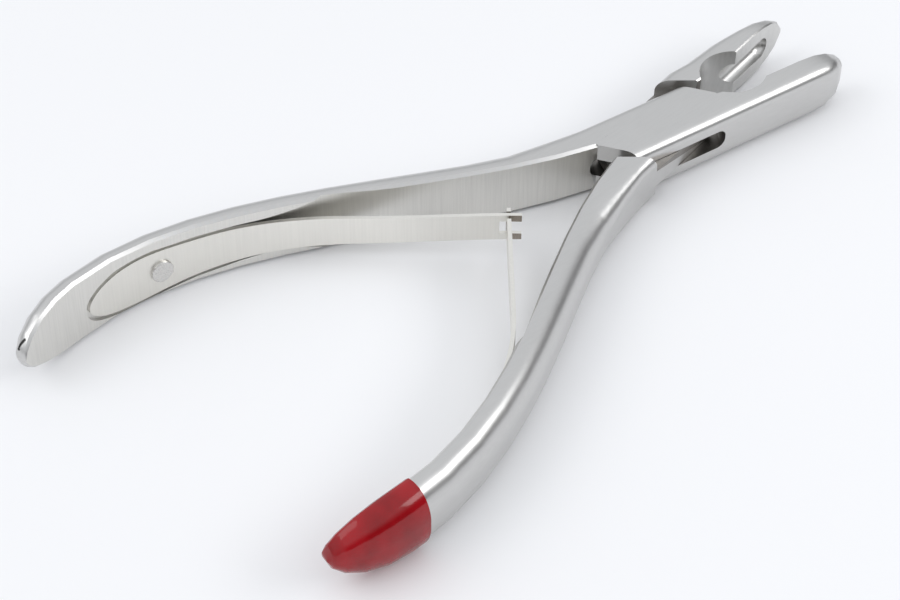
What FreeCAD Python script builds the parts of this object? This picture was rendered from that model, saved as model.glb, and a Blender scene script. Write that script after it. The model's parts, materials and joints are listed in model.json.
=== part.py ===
import FreeCAD, Part
import Sketcher
import math
import os

from FreeCAD import Vector

# Bone rongeur with a box joint, lying on its side. Millimetres, +Z up along the pivot axis,
# +X towards the jaws. The origin is on the underside of the box, on the pivot axis.
# Each arm is drawn closed, with its mating plane on Y = 0, and then turned open about the pivot.

doc = FreeCAD.newDocument("rongeur")
sheet = doc.addObject("Spreadsheet::Sheet", "Sizes")

sizes = [
    ("half_opening", 9.3),          # degrees that each arm is turned from closed to open
    ("box_width", 12.2),            # across the box joint
    ("box_depth", 10.0),            # along the pivot axis
    ("box_rear", 12.5),             # pivot to the notch between the handles
    ("box_front", 14.0),            # pivot to the root of the jaws
    ("wall_slant", 4.6),            # how far each end wall of the box leans over half its width
    ("box_corner", 2.2),            # rounding along the box
    ("shoulder_gap", 0.4),          # box wall to shoulder when closed
    ("slot_height", 3.6),
    ("slot_end_gap", 1.2),          # slot end to tongue when closed
    ("slot_reach", 1.4),            # how far the slot runs into each arm past the end walls
    ("slot_slant", 3.7),            # how far each slot end leans over half the width
    ("slot_end_round", 1.5),        # rounding of the slot and tongue ends
    ("tongue_clearance", 0.08),     # above and below the tongue
    ("pin_radius", 2.5),
    ("pin_clearance", 0.05),
    ("bite_gap", 0.05),             # jaw face to the bite plane
    ("bite_offset", 1.05),          # bite plane off the pivot, towards the jaw of box_arm
    ("jaw_reach", 43.0),            # pivot to the tip of the jaws
    ("jaw_tip_width", 0.6),
    ("jaw_nose_start", 33.0),       # where the jaws start to get shallower
    ("jaw_edge", 0.25),             # bevel along the biting edges
    ("front_taper_start", 35.0),    # where the jaw of box_arm starts to narrow
    ("back_taper_start", 22.0),     # where the jaw of tongue_arm starts to narrow
    ("back_jaw_inset", 1.3),        # side of that jaw inside the side of the box
    ("throat_reach", 20.4),         # pivot to the middle of the throat
    ("throat_radius", 6.8),
    ("front_throat_bite", 1.8),     # depth of the throat below the bite plane
    ("back_throat_bite", 3.2),
    ("cup_reach", 29.0),            # pivot to the middle of the cup
    ("cup_length", 17.5),
    ("cup_radius", 2.1),
    ("bare_reach", 117.5),          # pivot to the end of the bare handle
    ("coated_reach", 111.0),        # pivot to the end of the handle under its coating
    ("bow_reach", 90.0),            # pivot to where the handles stand furthest out
    ("bow_height", 19.2),           # mating plane to the inner face there
    ("bow_lead", 8.4),              # rise of the straight start of the bow
    ("end_radius", 52.0),           # curl of the handle past the bow
    ("grip_start", 34.0),           # pivot to where the handle has its grip section
    ("grip_thickness", 5.3),
    ("end_thickness", 4.5),
    ("grip_depth", 12.3),           # along the pivot axis, at the bow
    ("handle_nose", 12.0),          # length of the rounded end
    ("edge_chamfer", 0.5),          # along the inner edges of the handles
    ("leaf_thickness", 0.7),
    ("leaf_root_width", 8.8),
    ("leaf_tip_width", 5.2),
    ("leaf_root_height", 5.0),      # middle of the leaf above the underside, at the root
    ("leaf_tip_height", 6.5),       # and where the leaves cross
    ("fork_root_back", 14.5),       # end of the bare handle to the root of its leaf
    ("fork_rivet_back", 14.0),      # root of that leaf to its rivet
    ("hook_root_gap", 0.8),         # coating to the root of the other leaf
    ("hook_rivet_back", 6.7),       # root of that leaf to its rivet
    ("lift_lead", 9.0),             # rivet to where the leaf leaves the handle
    ("leaf_tip_reach", 36.3),       # pivot to where the leaves cross when open
    ("leaf_seat_gap", 0.02),        # leaf to the floor of its recess
    ("recess_depth", 0.6),
    ("recess_margin", 0.6),         # around the root of the leaf
    ("recess_runout", 48.0),        # pivot to where the recess has run out
    ("recess_fade", 14.0),          # length over which its floor rises
    ("recess_flare", 5.0),          # widening of its open end on each side
    ("recess_flare_length", 22.0),
    ("fork_slot_height", 2.6),
    ("fork_slot_length", 1.6),      # from the crossing back to the closed end
    ("prong_length", 2.2),
    ("neck_gap", 0.3),              # neck to the prongs
    ("head_start", 1.1),            # crossing to the head of the hook
    ("head_length", 1.0),
    ("head_height", 4.6),
    ("rivet_radius", 1.4),
    ("rivet_head_radius", 2.4),
    ("rivet_head_height", 0.8),
    ("rivet_head_gap", 0.02),       # head to the highest part of the leaf under it
    ("rivet_crown", 0.5),           # rise of the dome on the head
    ("rivet_seat", 2.6),            # depth of the rivet hole below the leaf
    ("coating_length", 14.5),
    ("coating_thickness", 0.35),
]

for row, (name, value) in enumerate(sizes, start=1):
    sheet.set("A%d" % row, name)
    sheet.set("B%d" % row, str(value))
    sheet.setAlias("B%d" % row, name)
doc.recompute()


def size(name):
    return float(sheet.get(name))


half_width = size("box_width") / 2
box_depth = size("box_depth")
box_rear = size("box_rear")
box_front = size("box_front")
mid_height = box_depth / 2
slot_low = (box_depth - size("slot_height")) / 2
slot_high = slot_low + size("slot_height")
quarter_bend = 0.5523           # handle length of a Bezier quarter circle over its radius
far = 3 * size("bare_reach")    # past every face of the part
station_pitch = 8.0             # between the sections of a handle
seat_steps = 8                  # spans of the curve along the seat of a leaf
fork_root = size("bare_reach") - size("fork_root_back")
hook_root = size("coated_reach") - size("coating_length") - size("hook_root_gap")
front_bluntness = 2.6           # the higher, the longer the jaw keeps its width
back_bluntness = 1.6
root_shares = (0.0, 0.03, 0.12, 0.3, 0.55, 0.8, 1.0)
nose_shares = (0.32, 0.6, 0.82, 0.95, 0.998)
jaw_shares = (0.0, 0.14, 0.28, 0.4, 0.52, 0.64, 0.76, 0.86, 0.94, 0.998)


# Shapes that several pieces share

# The same shape on the other side of the mating plane.
def flip(shape):
    return shape.mirror(Vector(0, 0, 0), Vector(0, 1, 0))


# An upright prism over plan points.
def prism(points, low, high):
    corners = [Vector(x, y, low) for x, y in points]
    return Part.Face(Part.makePolygon(corners + corners[:1])).extrude(Vector(0, 0, high - low))


# A quarter round from start to end that would be square at knee.
def corner(start, knee, end):
    across, up = (start - knee).Length, (end - knee).Length
    if abs(across - up) < 1e-6:
        centre = start + end - knee
        return Part.Arc(start, centre + (knee - centre).normalize() * across, end).toShape()
    curve = Part.BezierCurve()
    curve.setPoles([start, start + (knee - start) * quarter_bend,
                    end + (knee - end) * quarter_bend, end])
    return curve.toShape()


# A closed section: bevelled on the inner side, rounded on the outer. Corner sizes are (across, up).
def bar_section(origin, outward, thickness, low, high, inner, outer):
    def at(across, height):
        return Vector(origin[0] + outward[0] * across, origin[1] + outward[1] * across, height)

    (iy, iz), (oy, oz) = inner, outer
    points = [at(0, low + iz), at(0, high - iz), at(iy, high), at(thickness - oy, high),
              at(thickness, high - oz), at(thickness, low + oz), at(thickness - oy, low), at(iy, low)]
    edges = [Part.makeLine(points[0], points[1]),
             Part.makeLine(points[1], points[2]),
             Part.makeLine(points[2], points[3]),
             corner(points[3], at(thickness, high), points[4]),
             Part.makeLine(points[4], points[5]),
             corner(points[5], at(thickness, low), points[6]),
             Part.makeLine(points[6], points[7]),
             Part.makeLine(points[7], points[0])]
    return Part.Wire(edges)


# 0 before start, 1 after end, with a smooth rise between.
def ease(value, start, end):
    share = min(max((value - start) / (end - start), 0.0), 1.0)
    return share * share * (3 - 2 * share)


# 1 up to start, then a quarter ellipse down to 0 at end.
def dome(value, start, end):
    share = min(max((value - start) / (end - start), 0.0), 1.0)
    return math.sqrt(max(1 - share * share, 0.0))


# The handle's inner face in plan, as height above the mating plane at a distance from the pivot

def handle_face(reach):
    if reach <= size("bow_reach"):
        share = (reach - box_rear) / (size("bow_reach") - box_rear)
        rise = share * share * (3 - 2 * share)
        lead = share * (1 - share) ** 2
        return size("bow_height") * rise + size("bow_lead") * lead
    past = reach - size("bow_reach")
    radius = size("end_radius")
    return size("bow_height") - radius + math.sqrt(radius * radius - past * past)


def handle_slope(reach):
    step = 0.01
    return (handle_face(reach + step) - handle_face(reach - step)) / (2 * step)


def handle_depth(reach):
    share = (reach - box_rear) / (size("bow_reach") - box_rear)
    return box_depth + (size("grip_depth") - box_depth) * min(max(share, 0.0), 1.1)


# The handle from distance first to its end, grown on all sides but the cut one.
def handle_bar(reach_end, grow=0.0, first=box_rear):
    end = reach_end + grow
    nose = end - size("handle_nose") - grow
    count = max(1, round((nose - first) / station_pitch))
    stations = [first + (nose - first) * i / count for i in range(count + 1)]
    stations += [nose + (end - nose) * share for share in nose_shares]
    wires = []
    for reach in stations:
        slope = handle_slope(reach) if reach > box_rear + 0.02 else 0.0
        length = math.hypot(slope, 1.0)
        outward = (slope / length, 1 / length)
        grip = ease(reach, box_rear, size("grip_start"))
        taper = ease(reach, size("grip_start"), reach_end)
        thickness = half_width + (size("grip_thickness") - half_width) * grip
        thickness += (size("end_thickness") - size("grip_thickness")) * taper
        shrink = dome(reach, nose, end)
        thickness = (thickness + 2 * grow) * (0.3 + 0.7 * shrink)
        middle = handle_depth(reach) / 2
        half = (middle + grow) * shrink
        chamfer = min(size("edge_chamfer") + grow / 2, 0.2 * thickness, 0.3 * half)
        across = size("box_corner") + (0.9 * thickness - size("box_corner")) * grip
        across = min(across, 0.9 * thickness - chamfer)
        up = size("box_corner") + (0.9 * half - size("box_corner")) * grip
        up = min(up, 0.92 * half)
        origin = (-reach - outward[0] * grow, handle_face(reach) - outward[1] * grow)
        wires.append(bar_section(origin, outward, thickness, middle - half, middle + half,
                                 (chamfer, chamfer), (across, up)))
    return Part.makeLoft(wires, True, True)


# One jaw, on the +Y side, from the box to its tip. The bite plane lies at distance inner from the
# mating plane of the arms, and the side of the jaw at distance inset inside the side of the box.
def jaw_bar(inner, inset, taper_start, bluntness):
    tip = size("jaw_reach")
    gap = size("bite_gap")
    wires = []
    for share in jaw_shares:
        reach = box_front + (tip - box_front) * share
        clear_of_box = ease(reach, box_front, size("throat_reach"))
        low = inner * clear_of_box + gap
        full = half_width - inset * clear_of_box - low
        past = max(reach - taper_start, 0.0) / (tip - taper_start)
        width = size("jaw_tip_width") + (full - size("jaw_tip_width")) * (1 - past ** bluntness)
        half = mid_height * dome(reach, size("jaw_nose_start"), tip)
        edge = min(size("jaw_edge"), 0.3 * width, 0.3 * half)
        rounding = min(size("box_corner"), 0.5 * width, 0.6 * half)
        wires.append(bar_section((reach, low), (0, 1), width, mid_height - half, mid_height + half,
                                 (edge, edge), (rounding, rounding)))
    return Part.makeLoft(wires, True, True)


# The full box section, rounded along its four long edges.
def box_blank(rear, front):
    blank = Part.makeBox(rear + front, 2 * half_width, box_depth, Vector(-rear, -half_width, 0))
    long_edges = [e for e in blank.Edges if abs(e.tangentAt(e.FirstParameter).x) > 0.99]
    return blank.makeFillet(size("box_corner"), long_edges)


# Where the rear end wall of the box stands at a distance y below the mating plane.
def rear_wall(y, gap=0.0):
    return -box_rear + size("wall_slant") * y / half_width - gap


# Where the front end wall of the box stands at a distance y above the mating plane.
def front_wall(y, gap=0.0):
    return box_front - size("wall_slant") * y / half_width + gap


# Plan region of the box plates, between the two end walls.
def box_region(low, high):
    out = half_width + 1
    return prism([(-box_rear, 0), (rear_wall(out), -out), (box_front, -out), (box_front, 0),
                  (front_wall(out), out), (-box_rear, out)], low, high)


# Plan region that the shoulders of the other arm keep clear of.
def shoulder_region():
    gap = size("shoulder_gap")
    out = half_width + 1
    return prism([(rear_wall(0, gap), 0.0), (rear_wall(out, gap), -out), (front_wall(0, gap), -out),
                  (front_wall(0, gap), 0.0), (front_wall(out, gap), out), (rear_wall(0, gap), out)],
                 -1, box_depth + 1)


# The straight run between two leaning ends, rounded along their edges.
def slot_bar(inset, low, high):
    lean = size("slot_slant") / half_width
    front = box_front + size("slot_reach") - inset
    rear = box_rear + size("slot_reach") - inset
    out = 2 * half_width
    bar = prism([(-rear - lean * out, -out), (front - lean * out, -out),
                 (front + lean * out, out), (-rear + lean * out, out)], low, high)
    ends = [e for e in bar.Edges if abs(e.tangentAt(e.FirstParameter).z) < 0.1
            and abs(e.tangentAt(e.FirstParameter).x) < 0.9]
    return bar.makeFillet(min(size("slot_end_round"), 0.45 * (high - low)), ends)


# Features made by code, because their sections follow the bowed outline of the handles

def shaped(name, shape):
    item = doc.addObject("Part::Feature", name)
    item.Shape = shape
    return item


# Turn an arm piece about the pivot from closed to open.
def turn_open(item, sign):
    item.Placement = FreeCAD.Placement(Vector(0, 0, 0), FreeCAD.Rotation(Vector(0, 0, 1), 0))
    item.setExpression("Placement.Rotation.Angle", "%d * Sizes.half_opening" % sign)


def cylinder(name, radius, height, base):
    item = doc.addObject("Part::Cylinder", name)
    item.setExpression("Radius", radius)
    item.setExpression("Height", height)
    item.Placement.Base = base
    return item


def fuse(name, items):
    item = doc.addObject("Part::MultiFuse", name)
    item.Shapes = items
    return item


def cut(name, base, tool):
    item = doc.addObject("Part::Cut", name)
    item.Base = base
    item.Tool = tool
    return item


# Tools that cut both arms

def throat(name, side, bite):
    item = cylinder(name, "Sizes.throat_radius", "Sizes.box_depth * 3", Vector(0, 0, -box_depth))
    item.setExpression("Placement.Base.x", "Sizes.throat_reach")
    item.setExpression("Placement.Base.y", "%d * (Sizes.throat_radius - Sizes.%s)"
                                           " - Sizes.bite_offset" % (side, bite))
    return item


# The hollow of both jaws: a round-ended bar along the line where the jaws meet.
def cup(name):
    bar = cylinder(name + "_bar", "Sizes.cup_radius", "Sizes.cup_length - 2 * Sizes.cup_radius",
                   Vector(0, 0, 0))
    bar.Placement.Rotation = FreeCAD.Rotation(Vector(0, 1, 0), 90)
    bar.setExpression("Placement.Base.x", "Sizes.cup_reach - Sizes.cup_length / 2 + Sizes.cup_radius")
    pieces = [bar]
    for end, sign in (("inner", -1), ("outer", 1)):
        ball = doc.addObject("Part::Sphere", "%s_%s_end" % (name, end))
        ball.setExpression("Radius", "Sizes.cup_radius")
        ball.setExpression("Placement.Base.x", "Sizes.cup_reach + %d * (Sizes.cup_length / 2"
                                               " - Sizes.cup_radius)" % sign)
        pieces.append(ball)
    for piece in pieces:
        piece.setExpression("Placement.Base.y", "-Sizes.bite_offset")
        piece.setExpression("Placement.Base.z", "Sizes.box_depth / 2")
    return fuse(name, pieces)


# A leaf is known by its root: the distance from the pivot to its root end.
# Half its width at a distance from the pivot
def leaf_half_width(root, reach):
    tip = size("leaf_tip_reach")
    root_half, tip_half = size("leaf_root_width") / 2, size("leaf_tip_width") / 2
    widest = root - root_half * 2.4
    if reach > widest:
        return root_half * dome(reach, widest, root)
    share = (widest - reach) / (widest - tip)
    return tip_half + (root_half - tip_half) * (1 - min(share, 1.0)) ** 2.2


# Height of its middle at a distance from the pivot
def leaf_middle(root, reach):
    share = (root - reach) / (root - size("leaf_tip_reach"))
    return size("leaf_root_height") + (size("leaf_tip_height") - size("leaf_root_height")) * share


# Distances from the pivot at which its outline is drawn, close together round the root
def outline_reaches(root, end):
    widest = root - size("leaf_root_width") * 1.2
    reaches = [root - (root - widest) * share for share in root_shares]
    return reaches + [widest + (end - widest) * i / seat_steps for i in range(1, seat_steps + 1)]


# A side view with the given half widths at those distances, run out across both handles
def side_view(root, reaches, halves):
    top = [Vector(-r, 0, leaf_middle(root, r) + h) for r, h in zip(reaches, halves)]
    bottom = [Vector(-r, 0, leaf_middle(root, r) - h) for r, h in zip(reaches, halves)]
    over, under = Part.BSplineCurve(), Part.BSplineCurve()
    over.interpolate(top)
    under.interpolate(bottom)
    edges = [over.toShape(), under.toShape(), Part.makeLine(top[-1], bottom[-1])]
    if (top[0] - bottom[0]).Length > 1e-6:
        edges.append(Part.makeLine(top[0], bottom[0]))
    outline = Part.Wire(Part.sortEdges(edges)[0])
    view = Part.Face(outline).extrude(Vector(0, 2 * far, 0))
    view.translate(Vector(0, -far, 0))
    return view


# The milled seat of a leaf in the inner face of a handle, on the +Y side
def recess_tool(root):
    margin = size("recess_margin")
    runout, fade = size("recess_runout"), size("recess_fade")
    end = root + margin
    floor = []
    for i in range(2 * seat_steps + 1):
        reach = end - (end - runout) * i / (2 * seat_steps)
        depth = size("recess_depth") * ease(reach, runout, runout + fade)
        floor.append(Vector(-reach, handle_face(reach) + depth, 0))
    curve = Part.BSplineCurve()
    curve.interpolate(floor)
    first, last = floor[0], floor[-1]
    low = -half_width
    outline = [curve.toShape(), Part.makeLine(last, Vector(last.x, low, 0)),
               Part.makeLine(Vector(last.x, low, 0), Vector(first.x, low, 0)),
               Part.makeLine(Vector(first.x, low, 0), first)]
    plan = Part.Face(Part.Wire(outline)).extrude(Vector(0, 0, far))
    plan.translate(Vector(0, 0, -far / 2))
    reaches = outline_reaches(end, runout)
    halves = []
    for reach in reaches:
        flare = size("recess_flare") * (1 - ease(reach, runout, runout + size("recess_flare_length")))
        around = margin * dome(reach, root, end)
        halves.append(leaf_half_width(root, reach - margin) + around + flare)
    return plan.common(side_view(root, reaches, halves))


# A point over the floor of the recess, lift away from it
def seat_point(reach, lift):
    slope = handle_slope(reach)
    length = math.hypot(slope, 1.0)
    back = size("recess_depth") - lift
    return Vector(-reach + slope / length * back, handle_face(reach) + back / length, 0)


# Direction into the handle at a distance from the pivot, on the +Y side
def into_handle(reach):
    slope = handle_slope(reach)
    return Vector(slope, 1, 0).normalize()


# Placement under the head of a rivet, which bears on the highest part of the curved leaf,
# with +Z into the handle
def rivet_frame(root, back, side=1, clear=0.0):
    reach = root - back
    free = size("leaf_seat_gap") + size("leaf_thickness")
    inward = into_handle(reach)
    middle = seat_point(reach, free)
    rims = [seat_point(reach + step * size("rivet_head_radius"), free) for step in (-1, 1)]
    rise = max((middle - rim).dot(inward) for rim in rims)
    place = middle - inward * (max(rise, 0.0) + size("rivet_head_gap") + clear)
    place.z = leaf_middle(root, reach)
    place.y *= side
    inward.y *= side
    return FreeCAD.Placement(place, FreeCAD.Rotation(Vector(0, 0, 1), inward))


def rivet_hole(name, root, back, side):
    item = cylinder(name, "Sizes.rivet_radius",
                    "Sizes.rivet_seat + Sizes.leaf_thickness + Sizes.rivet_head_height", Vector(0, 0, 0))
    item.Placement = rivet_frame(root, back, side, size("rivet_head_height"))
    return item


# box_arm: handle on +Y, jaw on -Y, slotted box between them

def build_box_arm():
    box = shaped("box_plates", box_blank(box_rear, box_front).common(box_region(-1, box_depth + 1)))
    grip = shaped("box_arm_grip", handle_bar(size("bare_reach")))
    jaw = shaped("box_arm_jaw", flip(jaw_bar(size("bite_offset"), 0.0, size("front_taper_start"),
                                               front_bluntness)))
    slot = shaped("slot_space", slot_bar(0.0, slot_low, slot_high))
    bore = cylinder("box_bore", "Sizes.pin_radius", "Sizes.box_depth + 2", Vector(0, 0, -1))
    recess = shaped("box_arm_recess", recess_tool(fork_root))
    hole = rivet_hole("box_arm_rivet_hole", fork_root, size("fork_rivet_back"), 1)
    tools = fuse("box_arm_tools", [slot, bore, recess, hole, throat("box_arm_throat", 1, "front_throat_bite"),
                                   cup("box_arm_cup")])
    arm = cut("box_arm", fuse("box_arm_forging", [box, grip, jaw]), tools)
    turn_open(arm, -1)
    return arm


# tongue_arm: handle on -Y, jaw on +Y, flat tongue between them

def build_tongue_arm():
    blank = box_blank(box_rear, box_front)
    full = blank.cut(shoulder_region())
    below = Part.makeBox(far, far, far, Vector(-far, -far, -far / 2))
    above = Part.makeBox(far, far, far, Vector(0, 0, -far / 2))
    cheeks = full.common(below.fuse(above))
    play = size("tongue_clearance")
    rear = box_rear + size("slot_reach") - size("slot_end_gap")
    front = box_front + size("slot_reach") - size("slot_end_gap")
    tongue = slot_bar(size("slot_end_gap"), slot_low + play, slot_high - play)
    tongue = tongue.common(Part.makeBox(rear + front, 2 * half_width, box_depth,
                                        Vector(-rear, -half_width, 0)))
    jaw = jaw_bar(-size("bite_offset"), size("back_jaw_inset"), size("back_taper_start"), back_bluntness)
    jaw = jaw.cut(shoulder_region())
    grip = flip(handle_bar(size("coated_reach"))).cut(shoulder_region())
    pieces = [shaped("tongue_cheeks", cheeks), shaped("tongue_plate", tongue),
              shaped("tongue_arm_jaw", jaw), shaped("tongue_arm_grip", grip)]
    bore = cylinder("tongue_bore", "Sizes.pin_radius + Sizes.pin_clearance", "Sizes.box_depth + 2",
                    Vector(0, 0, -1))
    recess = shaped("tongue_arm_recess", flip(recess_tool(hook_root)))
    hole = rivet_hole("tongue_arm_rivet_hole", hook_root, size("hook_rivet_back"), -1)
    tools = fuse("tongue_arm_tools", [bore, recess, hole, throat("tongue_arm_throat", -1, "back_throat_bite"),
                                      cup("tongue_arm_cup")])
    arm = cut("tongue_arm", fuse("tongue_arm_forging", pieces), tools)
    turn_open(arm, 1)
    return arm


# pivot_pin: ground flush with both faces of the box

def build_pivot_pin():
    body = doc.addObject("PartDesign::Body", "pivot_pin")
    plane = [f for f in body.Origin.OriginFeatures if f.Role == "XY_Plane"][0]
    sketch = body.newObject("Sketcher::SketchObject", "pin_section")
    sketch.AttachmentSupport = [(plane, "")]
    sketch.MapMode = "FlatFace"
    sketch.addGeometry(Part.Circle(Vector(0, 0, 0), Vector(0, 0, 1), size("pin_radius")), False)
    sketch.addConstraint(Sketcher.Constraint("Coincident", 0, 3, -1, 1))
    sketch.addConstraint(Sketcher.Constraint("Radius", 0, size("pin_radius")))
    sketch.setExpression("Constraints[1]", "Sizes.pin_radius")
    pad = body.newObject("PartDesign::Pad", "pin_length")
    pad.Profile = sketch
    pad.setExpression("Length", "Sizes.box_depth")
    return body


# The leaf springs: riveted in the recess, bent clear of the handle, crossing on the mating plane

# Start of the bend, its middle and radius, the crossing and the direction there, all closed.
# The bend leaves the handle along its face and runs through the crossing.
def leaf_path(lift):
    inward = into_handle(lift)
    start = seat_point(lift, size("leaf_seat_gap") + size("leaf_thickness") / 2)
    opening = math.radians(size("half_opening"))
    tip = size("leaf_tip_reach")
    cross = Vector(-tip * math.cos(opening), -tip * math.sin(opening), 0)
    chord = cross - start
    radius = -chord.Length ** 2 / (2 * chord.dot(inward))
    centre = start - inward * radius
    out = (cross - centre).normalize()
    return start, centre, radius, cross, Vector(out.y, -out.x, 0)


# One side of the leaf in plan, as edges from the root to past the crossing
def leaf_side(root, lift, lift_off, past):
    start, centre, bend, cross, along = leaf_path(lift)
    reaches = [root + (lift - root) * i / seat_steps for i in range(seat_steps + 1)]
    seat = Part.BSplineCurve()
    seat.interpolate([seat_point(reach, lift_off) for reach in reaches])
    radius = bend + size("leaf_seat_gap") + size("leaf_thickness") / 2 - lift_off
    first = seat_point(lift, lift_off)
    last = centre + (cross - centre).normalize() * radius
    half_way = centre + ((first - centre).normalize() + (last - centre).normalize()).normalize() * radius
    return [seat.toShape(), Part.Arc(first, half_way, last).toShape(),
            Part.makeLine(last, last + along * past)]


# The leaf with its rivet hole, up to a distance past the crossing
def leaf_blank(root, back, past):
    lift = root - back - size("lift_lead")
    gap = size("leaf_seat_gap")
    near = leaf_side(root, lift, gap, past)
    free = leaf_side(root, lift, gap + size("leaf_thickness"), past)
    ends = [Part.makeLine(near[0].Vertexes[0].Point, free[0].Vertexes[0].Point),
            Part.makeLine(near[-1].Vertexes[-1].Point, free[-1].Vertexes[-1].Point)]
    plan = Part.Face(Part.Wire(Part.sortEdges(near + free + ends)[0])).extrude(Vector(0, 0, far))
    plan.translate(Vector(0, 0, -far / 2))
    reaches = outline_reaches(root, size("leaf_tip_reach") - 3 * (size("head_start") + size("head_length")))
    halves = [leaf_half_width(root, reach) for reach in reaches]
    hole = Part.makeCylinder(size("rivet_radius"), size("rivet_seat") + size("rivet_head_height"))
    hole.Placement = rivet_frame(root, back, 1, size("rivet_head_height"))
    return plan.common(side_view(root, reaches, halves)).cut(hole)


# A block along the leaf around the crossing, from start to end past it
def tip_block(lift, start, end, low, high):
    cross, along = leaf_path(lift)[3:]
    wide = size("box_width")
    block = Part.makeBox(end - start, wide, high - low, Vector(start, -wide / 2, low))
    block.rotate(Vector(0, 0, 0), Vector(0, 0, 1), math.degrees(math.atan2(along.y, along.x)))
    block.translate(Vector(cross.x, cross.y, size("leaf_tip_height")))
    return block


def build_leaf_fork():
    reach = size("prong_length")
    back = size("fork_rivet_back")
    leaf = leaf_blank(fork_root, back, reach)
    half = size("fork_slot_height") / 2
    lift = fork_root - back - size("lift_lead")
    slot = tip_block(lift, -size("fork_slot_length"), 2 * reach, -half, half)
    item = shaped("leaf_spring_fork", leaf.cut(slot))
    turn_open(item, -1)
    return item


def build_leaf_hook():
    neck = size("fork_slot_height") / 2 - size("neck_gap")
    neck_end = size("head_start")
    head_end = neck_end + size("head_length")
    head = size("head_height") / 2
    back = size("hook_rivet_back")
    lift = hook_root - back - size("lift_lead")
    leaf = leaf_blank(hook_root, back, head_end)
    for low, high in ((neck, box_depth), (-box_depth, -neck)):
        leaf = leaf.cut(tip_block(lift, -neck_end, neck_end, low, high))
    for low, high in ((head, box_depth), (-box_depth, -head)):
        leaf = leaf.cut(tip_block(lift, -neck_end, 2 * head_end, low, high))
    item = shaped("leaf_spring_hook", flip(leaf))
    turn_open(item, 1)
    return item


# The rivets: a domed head on the leaf and a shank set in a blind hole of the handle

def build_rivet(name, root, back, side):
    frame = rivet_frame(root, back, side)
    into = frame.Rotation.multVec(Vector(0, 0, 1))
    shank = cylinder(name + "_shank", "Sizes.rivet_radius", "Sizes.rivet_seat + Sizes.leaf_thickness",
                     Vector(0, 0, 0))
    shank.Placement = frame
    rim = cylinder(name + "_rim", "Sizes.rivet_head_radius", "Sizes.rivet_head_height", Vector(0, 0, 0))
    rim.Placement = FreeCAD.Placement(frame.Base - into * size("rivet_head_height"), frame.Rotation)
    crown = doc.addObject("Part::Sphere", name + "_crown")
    crown.setExpression("Radius", "(Sizes.rivet_head_radius ^ 2 + Sizes.rivet_crown ^ 2)"
                                  " / (2 * Sizes.rivet_crown)")
    ball = (size("rivet_head_radius") ** 2 + size("rivet_crown") ** 2) / (2 * size("rivet_crown"))
    crown.Placement.Base = frame.Base + into * (ball - size("rivet_head_height"))
    head = doc.addObject("Part::MultiCommon", name + "_head")
    head.Shapes = [rim, crown]
    rivet = fuse(name, [shank, head])
    turn_open(rivet, -side)
    return rivet


# tip_coating: the dipped coating over the end of one handle

def build_tip_coating():
    end = size("coated_reach")
    start = end - size("coating_length")
    skin = handle_bar(end, size("coating_thickness"), start).cut(handle_bar(end))
    item = shaped("tip_coating", flip(skin))
    turn_open(item, 1)
    return item


nodes = [build_box_arm(), build_tongue_arm(), build_pivot_pin(),
         build_leaf_fork(), build_leaf_hook(),
         build_rivet("rivet_fork_leaf", fork_root, size("fork_rivet_back"), 1),
         build_rivet("rivet_hook_leaf", hook_root, size("hook_rivet_back"), -1),
         build_tip_coating()]

doc.recompute()
for item in doc.Objects:
    if "Invalid" in item.State or "Error" in item.State:
        raise RuntimeError("%s did not build" % item.Name)
os.makedirs("parts", exist_ok=True)
for node in nodes:
    if node.Shape.isNull() or not node.Shape.isValid():
        raise RuntimeError("%s has no valid shape" % node.Label)
    node.Shape.exportStep("parts/%s.step" % node.Label)
    print(node.Label, len(node.Shape.Solids), round(node.Shape.Volume, 2), node.Shape.BoundBox)
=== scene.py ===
import json
import math

import bpy
from mathutils import Matrix, Vector

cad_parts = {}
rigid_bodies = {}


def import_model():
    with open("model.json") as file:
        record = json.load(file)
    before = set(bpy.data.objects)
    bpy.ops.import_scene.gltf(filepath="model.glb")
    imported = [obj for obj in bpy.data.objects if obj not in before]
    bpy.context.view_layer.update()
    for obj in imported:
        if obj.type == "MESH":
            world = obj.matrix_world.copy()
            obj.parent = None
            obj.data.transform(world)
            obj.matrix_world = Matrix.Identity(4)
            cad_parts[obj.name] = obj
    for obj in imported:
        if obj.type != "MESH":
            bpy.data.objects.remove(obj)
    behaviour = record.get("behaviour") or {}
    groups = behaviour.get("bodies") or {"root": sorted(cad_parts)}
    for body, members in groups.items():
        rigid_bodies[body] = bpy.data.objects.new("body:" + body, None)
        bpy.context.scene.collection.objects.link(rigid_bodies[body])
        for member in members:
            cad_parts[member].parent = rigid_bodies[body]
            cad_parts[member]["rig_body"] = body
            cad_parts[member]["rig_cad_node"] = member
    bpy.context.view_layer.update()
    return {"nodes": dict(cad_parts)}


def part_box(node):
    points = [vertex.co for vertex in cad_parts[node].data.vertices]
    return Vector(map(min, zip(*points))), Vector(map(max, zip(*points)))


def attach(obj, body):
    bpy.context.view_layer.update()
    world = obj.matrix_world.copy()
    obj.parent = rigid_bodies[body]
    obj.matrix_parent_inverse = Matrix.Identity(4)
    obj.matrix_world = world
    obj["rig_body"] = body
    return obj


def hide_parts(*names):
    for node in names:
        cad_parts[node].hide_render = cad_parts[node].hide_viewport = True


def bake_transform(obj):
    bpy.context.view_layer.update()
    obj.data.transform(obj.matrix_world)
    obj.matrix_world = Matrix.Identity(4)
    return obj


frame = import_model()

mm = 0.001
nodes = frame["nodes"]
print("frame loaded")


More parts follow.
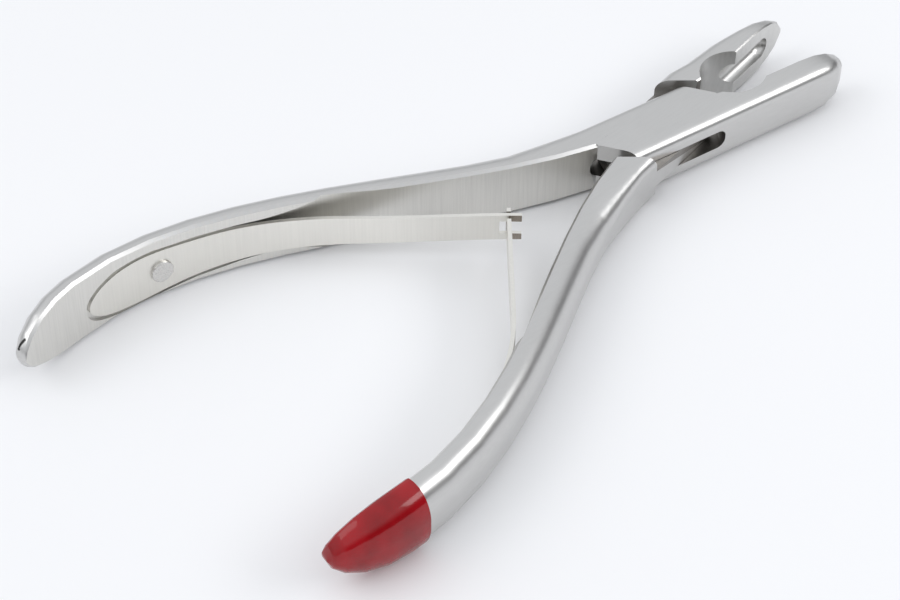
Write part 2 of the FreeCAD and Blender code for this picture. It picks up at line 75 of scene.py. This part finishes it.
# A socket that takes arithmetic, and one method for every other node
class Shade:
    def __init__(self, tree, socket=None):
        self.tree = tree
        self.socket = socket

    def node(self, kind, settings, inputs, out=0):
        made = self.tree.nodes.new(kind)
        for name, value in settings.items():
            setattr(made, name, value)
        for name, value in inputs.items():
            self.feed(made.inputs[name], value)
        return Shade(self.tree, made.outputs[out])

    def feed(self, socket, value):
        if isinstance(value, Shade):
            self.tree.links.new(value.socket, socket)
        else:
            socket.default_value = value

    def maths(self, operation, first, second):
        return self.node("ShaderNodeMath", {"operation": operation}, {0: first, 1: second})

    def __add__(self, other):
        return self.maths("ADD", self, other)

    def __radd__(self, other):
        return self.maths("ADD", other, self)

    def __sub__(self, other):
        return self.maths("SUBTRACT", self, other)

    def __rsub__(self, other):
        return self.maths("SUBTRACT", other, self)

    def __mul__(self, other):
        return self.maths("MULTIPLY", self, other)

    def __rmul__(self, other):
        return self.maths("MULTIPLY", other, self)


def newMaterial(name):
    material = bpy.data.materials.new(name)
    material.use_nodes = True
    shader = material.node_tree.nodes["Principled BSDF"]
    return material, shader, Shade(material.node_tree)


def noise(shade, stretch, detail):
    place = shade.node("ShaderNodeTexCoord", {}, {}, out="Object")
    drawn = shade.node("ShaderNodeMapping", {}, {"Vector": place, "Scale": stretch})
    return shade.node("ShaderNodeTexNoise", {}, {"Vector": drawn, "Scale": 1.0, "Detail": detail})


def remap(value, low, high, fromLow=0.0, fromHigh=1.0):
    span = {"Value": value, "From Min": fromLow, "From Max": fromHigh, "To Min": low, "To Max": high}
    return value.node("ShaderNodeMapRange", {}, span)


# Ground and satin finished steel

# grain is how often the marks repeat per metre along x, y and z
steels = {
    "outerSteel": {"color": (0.60, 0.595, 0.585), "grain": (260, 2400, 2400), "roughness": 0.30,
                   "streak": 0.05, "cloud": 0.03, "relief": 0.004, "darkMark": True},
    # the ground steel of the inner face has a cross grain and is made lighter as painted light
    "groundAndLitSteel": {"color": (0.74, 0.73, 0.70), "grain": (3200, 3200, 90), "roughness": 0.33,
                    "streak": 0.10, "cloud": 0.04, "relief": 0.08},
    "biteSteel": {"color": (0.63, 0.625, 0.61), "grain": (900, 2600, 500), "roughness": 0.30,
                  "streak": 0.12, "cloud": 0.08, "relief": 0.15},
    # the steel inside the box slot is darkened as painted shade
    "slotShadeSteel": {"color": (0.30, 0.285, 0.27), "grain": (1400, 1400, 1400), "roughness": 0.42,
                  "streak": 0.25, "cloud": 0.2, "relief": 0.3},
    "springSteel": {"color": (0.80, 0.785, 0.74), "grain": (2800, 2800, 70), "roughness": 0.34,
                    "streak": 0.06, "cloud": 0.04, "relief": 0.06},
    # the prong steel is darkened with a brownish tint as painted shade
    "prongShadeSteel": {"color": (0.33, 0.29, 0.25), "grain": (4200, 4200, 900), "roughness": 0.38,
                 "streak": 0.3, "cloud": 0.2, "relief": 0.3},
    "rivetSteel": {"color": (0.68, 0.67, 0.65), "grain": (1500, 1500, 1500), "roughness": 0.28,
                   "streak": 0.08, "cloud": 0.08, "relief": 0.06},
}


# A small dark streak down the end of the bare handle, in millimetres
darkMarkLook = {
    "points": ((-112.95, 31.75, 9.15), (-113.15, 31.83, 8.92), (-113.35, 31.90, 8.68), (-113.53, 31.96, 8.46),
               (-113.70, 32.00, 8.25), (-113.85, 31.98, 8.05), (-114.05, 31.90, 7.80)),
    "core": 0.20,
    "edge": 0.36,
    "depth": 0.93,
}


def darkMarkMask(shade):
    place = shade.node("ShaderNodeTexCoord", {}, {}, out="Object")
    mask = None
    for point in darkMarkLook["points"]:
        spot = Vector(point) * mm
        far = shade.node("ShaderNodeVectorMath", {"operation": "DISTANCE"}, {0: place, 1: spot}, out="Value")
        dark = remap(far, darkMarkLook["depth"], 0.0, darkMarkLook["core"] * mm, darkMarkLook["edge"] * mm)
        mask = dark if mask is None else mask.maths("MAXIMUM", mask, dark)
    return mask


def steelMaterial(name, look):
    material, shader, shade = newMaterial(name)
    streaks = noise(shade, look["grain"], 4.0)
    cloud = noise(shade, (70, 70, 70), 3.0)
    specks = noise(shade, (2600, 2600, 2600), 1.0)
    tone = 1 + look["streak"] * (streaks - 0.5) * 2 + look["cloud"] * (cloud - 0.5) * 2
    speckled = tone - remap(specks, 0.0, 0.04, 0.70, 0.80)
    if look.get("darkMark"):
        speckled = speckled * (1 - darkMarkMask(shade))
    tinted = shade.node("ShaderNodeVectorMath", {"operation": "SCALE"}, {0: look["color"], "Scale": speckled})
    shade.feed(shader.inputs["Base Color"], tinted)
    rough = look["roughness"] + 0.07 * (streaks - 0.5) + 0.05 * (cloud - 0.5)
    shade.feed(shader.inputs["Roughness"], rough)
    shader.inputs["Metallic"].default_value = 1.0
    relief = {"Height": streaks, "Strength": look["relief"], "Distance": 0.01 * mm}
    shade.feed(shader.inputs["Normal"], shade.node("ShaderNodeBump", {}, relief, out="Normal"))
    return material


steel = {name: steelMaterial(name, look) for name, look in steels.items()}


# Clear red dip coating: a deep red mixed with a paler red by a noise cloud
coatingLook = {
    "deep": (0.20, 0.001, 0.003, 1),
    "pale": (0.36, 0.003, 0.008, 1),
    "roughness": 0.10,
    "clearCoat": 0.15,
    "clearCoatRoughness": 0.03,
    "ior": 1.43,
    "ripple": 0.25,
    "rippleHeight": 0.15,
}


def coatingMaterial():
    material, shader, shade = newMaterial("redCoating")
    cloud = noise(shade, (180, 180, 120), 2.0)
    dust = noise(shade, (3000, 3000, 3000), 1.0)
    mask = remap(cloud, 0.0, 1.0, 0.3, 0.7)
    red = shade.node("ShaderNodeMix", {"data_type": "RGBA"},
                     {0: mask, 6: coatingLook["deep"], 7: coatingLook["pale"]}, out=2)
    shade.feed(shader.inputs["Base Color"], red)
    shade.feed(shader.inputs["Roughness"], coatingLook["roughness"] + 0.05 * dust)
    shader.inputs["Coat Weight"].default_value = coatingLook["clearCoat"]
    shader.inputs["Coat Roughness"].default_value = coatingLook["clearCoatRoughness"]
    shader.inputs["IOR"].default_value = coatingLook["ior"]
    ripple = {"Height": cloud, "Strength": coatingLook["ripple"], "Distance": coatingLook["rippleHeight"] * mm}
    shade.feed(shader.inputs["Normal"], shade.node("ShaderNodeBump", {}, ripple, out="Normal"))
    return material


redCoating = coatingMaterial()
print("materials made")


# Copies of the CAD nodes that are merged, cleaned and smooth

def selectOnly(piece):
    bpy.ops.object.select_all(action="DESELECT")
    piece.select_set(True)
    bpy.context.view_layer.objects.active = piece


def looseCopy(node, name):
    selectOnly(nodes[node])
    bpy.ops.object.duplicate()
    piece = bpy.context.object
    piece.name = name
    piece.data.name = name
    piece.parent = None
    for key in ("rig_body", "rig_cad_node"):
        if key in piece:
            del piece[key]
    selectOnly(piece)
    bpy.ops.object.mode_set(mode="EDIT")
    bpy.ops.mesh.select_all(action="SELECT")
    bpy.ops.mesh.remove_doubles(threshold=0.002 * mm)
    bpy.ops.object.mode_set(mode="OBJECT")
    bpy.ops.mesh.customdata_custom_splitnormals_clear()
    piece.data.materials.clear()
    return piece


def smooth(piece, degrees):
    selectOnly(piece)
    bpy.ops.object.shade_smooth_by_angle(angle=math.radians(degrees))


def oneFinish(place, normal):
    return 0


# choose gives the finish of a face from its place in millimetres and its normal
def paint(piece, finishes, choose):
    for finish in finishes:
        piece.data.materials.append(finish)
    for face in piece.data.polygons:
        face.material_index = choose(face.center / mm, face.normal)


# Both arms: lengths in millimetres, with the pivot at zero
armLook = {
    "boxRear": -13,
    "boxFront": 15,
    "biteStart": 15.5,
    "middleHeight": 5,
    "slotHalfHeight": 1.9,
    "slotHalfWidth": 5.6,
    "slotFloorReach": 2.1,
    "creaseAngle": 28,
}


# 0 outer, 1 inner face of the handle, ground and made lighter as painted light, 2 bite and cup, 3 inside the
# box, darkened as painted shade
def armFace(side):
    def choose(place, normal):
        inward = -side * normal.y
        upward = abs(normal.z)
        fromMiddle = abs(place.z - armLook["middleHeight"])
        inBox = armLook["boxRear"] < place.x < armLook["boxFront"]
        # the inner face of the handle gets the ground steel made lighter as painted light
        if place.x < armLook["boxRear"] and inward > 0.6 and upward < 0.3:
            return 1
        if place.x > armLook["biteStart"] and inward < -0.3:
            return 2
        # the slot walls and floor inside the box get painted shade
        slotWall = fromMiddle < armLook["slotHalfHeight"] and upward < 0.5
        if inBox and slotWall and abs(place.y) < armLook["slotHalfWidth"]:
            return 3
        if inBox and upward > 0.9 and fromMiddle < armLook["slotFloorReach"]:
            return 3
        return 0
    return choose


armFinishes = [steel["outerSteel"], steel["groundAndLitSteel"], steel["biteSteel"], steel["slotShadeSteel"]]


def dress(node, name, finishes, choose, crease, body):
    piece = looseCopy(node, name)
    paint(piece, finishes, choose)
    smooth(piece, crease)
    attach(piece, body)
    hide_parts(node)


dress("box_arm", "boxArm", armFinishes, armFace(1), armLook["creaseAngle"], "box_body")
dress("tongue_arm", "tongueArm", armFinishes, armFace(-1), armLook["creaseAngle"], "tongue_body")
dress("tip_coating", "tipCoating", [redCoating], oneFinish, 50, "tongue_body")

nodes["pivot_pin"].data.materials.clear()
nodes["pivot_pin"].data.materials.append(steel["outerSteel"])
print("arms made")


# Leaf springs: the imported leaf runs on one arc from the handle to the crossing. Here the arc is
# tighter and ends in a straight run, as on the real leaf. Lengths in millimetres, seen from above.
leafLook = {
    "lift": Vector((-75.899, 31.350)),
    "crossing": Vector((-36.3, 0.0)),
    "intoHandle": Vector((0.30107, 0.95360)),
    "packedRadius": 70.96,
    "forkRadius": 51.5,
    "hookRadius": 57.5,
    "cuts": 16,
    "sink": 0.5,           # of the middle of the free run
    "raise": 0.45,         # of the crossing
    "bendBefore": 6,       # from the lift towards the root
    "bendAfter": 12,
    "prongShadeFrom": -36.6,      # start along x of the prong faces darkened as painted shade
}


class LeafPath:
    def __init__(self, radius):
        out = leafLook["intoHandle"].normalized()
        self.radius = radius
        self.middle = leafLook["lift"] - out * radius
        away = leafLook["crossing"] - self.middle
        self.first = math.atan2(out.y, out.x)
        self.last = math.atan2(away.y, away.x) + math.acos(min(1.0, radius / away.length))
        self.arc = (self.first - self.last) * radius
        self.end = self.middle + Vector((math.cos(self.last), math.sin(self.last))) * radius
        self.run = (leafLook["crossing"] - self.end).length
        self.length = self.arc + self.run

    # Point and outward direction at a distance from the lift
    def at(self, distance):
        turn = self.first - min(distance, self.arc) / self.radius
        out = Vector((math.cos(turn), math.sin(turn)))
        along = Vector((out.y, -out.x))
        return self.middle + out * self.radius + along * max(0.0, distance - self.arc), out, along

    # Distance from the lift and height over the path of a point
    def measure(self, point):
        spoke = point - self.middle
        turn = math.atan2(spoke.y, spoke.x)
        if turn > self.last:
            return (self.first - turn) * self.radius, spoke.length - self.radius
        out = Vector((math.cos(self.last), math.sin(self.last)))
        along = Vector((out.y, -out.x))
        return self.arc + (point - self.end).dot(along), (point - self.end).dot(out)


def bendLeaf(piece, side, radius):
    packed = LeafPath(leafLook["packedRadius"])
    real = LeafPath(radius)
    selectOnly(piece)
    bpy.ops.object.mode_set(mode="EDIT")
    for cut in range(leafLook["cuts"] + 1):
        point, out, along = packed.at(packed.length * cut / leafLook["cuts"])
        bpy.ops.mesh.select_all(action="SELECT")
        bpy.ops.mesh.bisect(plane_co=(point.x * mm, side * point.y * mm, 0),
                            plane_no=(along.x, side * along.y, 0))
    bpy.ops.object.mode_set(mode="OBJECT")
    for vertex in piece.data.vertices:
        distance, over = packed.measure(Vector((vertex.co.x, side * vertex.co.y)) / mm)
        if distance <= 0:
            continue
        share = min(1.0, distance / packed.length)
        point, out, along = real.at(distance * real.length / packed.length)
        moved = point + out * over
        rise = leafLook["raise"] * share ** 2 - leafLook["sink"] * math.sin(math.pi * share) ** 2
        vertex.co = Vector((moved.x, side * moved.y, vertex.co.z / mm + rise)) * mm
    piece.data.update()


# 0 the broad faces, 1 the faces of the prongs past the crossing, darkened with a brownish tint as painted
# shade
def leafFace(place, normal):
    sawn = place.x > leafLook["prongShadeFrom"] and abs(normal.z) < 0.5 and abs(normal.x) > 0.4
    return 1 if sawn else 0


def makeLeaf(node, name, side, radius):
    leaf = looseCopy(node, name)
    bendLeaf(leaf, side, radius)
    paint(leaf, [steel["springSteel"], steel["prongShadeSteel"]], leafFace)
    smooth(leaf, 28)
    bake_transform(leaf)
    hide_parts(node)


makeLeaf("leaf_spring_fork", "forkLeaf", 1, leafLook["forkRadius"])
makeLeaf("leaf_spring_hook", "hookLeaf", -1, leafLook["hookRadius"])
print("leaves made")


# Rivets: a flat ground head with a soft rim on a shank that fills the hole in the leaf
rivetLook = {
    "headRadius": 2.05,
    "headHeight": 1.0,
    "shankRadius": 1.36,
    "shankLength": 3.0,
    "rim": 0.22,
    "dish": 0.35,
    "dishDepth": 0.05,
    "shift": 0.35,                  # towards the pivot
    "seat": 1.3,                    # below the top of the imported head
    "crown": 0.9,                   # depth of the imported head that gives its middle
    "outward": (-0.1616, -0.9869),
}


# Selects the faces of a piece that look along a direction, and opens it in edit mode
def editFaces(piece, direction, least):
    for face in piece.data.polygons:
        face.select = face.normal.dot(direction) > least
    bpy.ops.object.mode_set(mode="EDIT")


def leaveEdit():
    bpy.ops.mesh.select_all(action="DESELECT")
    bpy.ops.object.mode_set(mode="OBJECT")


def makeRivet(node, name, side, body):
    outX, outY = rivetLook["outward"]
    out = Vector((outX, outY * side, 0)).normalized()
    points = [vertex.co.copy() for vertex in nodes[node].data.vertices]
    top = max(point.dot(out) for point in points)
    crown = [point for point in points if point.dot(out) > top - rivetLook["crown"] * mm]
    low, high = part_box(node)
    middle = sum(crown, Vector()) / len(crown)
    seat = middle + out * (top - rivetLook["seat"] * mm - middle.dot(out))
    seat.z = (low[2] + high[2]) / 2
    seat += Vector((-outY, outX * side, 0)) * rivetLook["shift"] * mm
    turn = out.to_track_quat("Z", "Y").to_euler()
    bpy.ops.object.select_all(action="DESELECT")
    bpy.ops.mesh.primitive_cylinder_add(vertices=48, radius=rivetLook["headRadius"] * mm,
                                        depth=rivetLook["headHeight"] * mm, rotation=turn,
                                        location=seat + out * rivetLook["headHeight"] / 2 * mm)
    head = bpy.context.object
    bpy.ops.object.transform_apply(location=True, rotation=True, scale=True)
    bpy.ops.object.mode_set(mode="EDIT")
    bpy.ops.mesh.select_mode(type="FACE")
    leaveEdit()
    editFaces(head, out, 0.9)
    bpy.ops.mesh.bevel(offset=rivetLook["rim"] * mm, segments=4, affect="EDGES")
    leaveEdit()
    editFaces(head, out, 0.999)
    bpy.ops.mesh.inset(thickness=rivetLook["dish"] * mm)
    bpy.ops.transform.translate(value=-out * rivetLook["dishDepth"] * mm)
    leaveEdit()
    editFaces(head, -out, 0.999)
    bpy.ops.mesh.inset(thickness=(rivetLook["headRadius"] - rivetLook["shankRadius"]) * mm)
    bpy.ops.mesh.extrude_region_move(TRANSFORM_OT_translate={"value": -out * rivetLook["shankLength"] * mm})
    bpy.ops.object.mode_set(mode="OBJECT")
    head.name = name
    head.data.name = name
    paint(head, [steel["rivetSteel"]], oneFinish)
    smooth(head, 35)
    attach(head, body)
    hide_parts(node)


makeRivet("rivet_fork_leaf", "forkRivet", 1, "box_body")
makeRivet("rivet_hook_leaf", "hookRivet", -1, "tongue_body")
print("rivets made")


# Floor, light and camera
stageLook = {
    "floor": (0.905, 0.905, 0.915, 1),
    "floorHeight": -0.36,
    "floorRoughness": 0.8,
    "sky": (0.95, 0.97, 1.0, 1),
    "horizon": (0.10, 0.10, 0.105, 1),
    "darkSide": (0.52, -0.85, 0.0),
    "strength": 0.92,
}
lamps = {
    "frontBox": {"place": (0.36, -0.46, 0.38), "size": (0.55, 0.22), "power": 1.3},
    "leftBox": {"place": (-0.50, 0.30, 0.55), "size": (0.6, 0.4), "power": 1.0},
}


def makeFloor():
    bpy.ops.object.select_all(action="DESELECT")
    bpy.ops.mesh.primitive_plane_add(size=3, location=(0, 0, stageLook["floorHeight"] * mm))
    floor = bpy.context.object
    floor.name = "floor"
    material, shader, shade = newMaterial("floorPaper")
    shader.inputs["Base Color"].default_value = stageLook["floor"]
    shader.inputs["Roughness"].default_value = stageLook["floorRoughness"]
    floor.data.materials.append(material)


def areaLight(name, place, size, power):
    light = bpy.data.lights.new(name, "AREA")
    light.shape = "RECTANGLE"
    light.size, light.size_y = size
    light.energy = power
    lamp = bpy.data.objects.new(name, light)
    bpy.context.scene.collection.objects.link(lamp)
    lamp.location = place
    lamp.rotation_euler = (-Vector(place)).to_track_quat("-Z", "Y").to_euler()


# A pale room whose lower part is dark towards the front right
def makeWorld():
    world = bpy.data.worlds.new("studio")
    bpy.context.scene.world = world
    world.use_nodes = True
    backdrop = world.node_tree.nodes["Background"]
    shade = Shade(world.node_tree)
    way = shade.node("ShaderNodeTexCoord", {}, {}, out="Generated")
    height = shade.node("ShaderNodeSeparateXYZ", {}, {0: way}, out="Z")
    facing = shade.node("ShaderNodeVectorMath", {"operation": "DOT_PRODUCT"},
                        {0: way, 1: stageLook["darkSide"]}, out="Value")
    low = remap(height, 1.0, 0.0, 0.22, 0.50)
    ahead = remap(facing, 0.35, 1.0, -0.2, 0.6)
    room = shade.node("ShaderNodeMix", {"data_type": "RGBA"},
                      {0: low * ahead, 6: stageLook["sky"], 7: stageLook["horizon"]}, out=2)
    shade.feed(backdrop.inputs["Color"], room)
    backdrop.inputs["Strength"].default_value = stageLook["strength"]


cameraLook = {
    "place": (-250.2, -202.8, 258.7),
    "right": (0.7160, -0.6981, 0.0068),
    "ahead": (0.5190, 0.5258, -0.6739),
    "lens": 92,
    "sensor": 36,
}


def makeCamera():
    right = Vector(cameraLook["right"]).normalized()
    ahead = Vector(cameraLook["ahead"]).normalized()
    up = right.cross(ahead).normalized()
    right = ahead.cross(up)
    place = Vector(cameraLook["place"]) * mm
    camera = bpy.data.cameras.new("camera")
    camera.lens = cameraLook["lens"]
    camera.sensor_width = cameraLook["sensor"]
    camera.clip_start = 0.01
    view = bpy.data.objects.new("camera", camera)
    bpy.context.scene.collection.objects.link(view)
    view.matrix_world = Matrix(((right.x, up.x, -ahead.x, place.x), (right.y, up.y, -ahead.y, place.y),
                                (right.z, up.z, -ahead.z, place.z), (0, 0, 0, 1)))
    bpy.context.scene.camera = view


makeFloor()
makeWorld()
for name, lamp in lamps.items():
    areaLight(name, **lamp)
makeCamera()
bpy.context.scene.view_settings.view_transform = "Standard"
print("stage made")
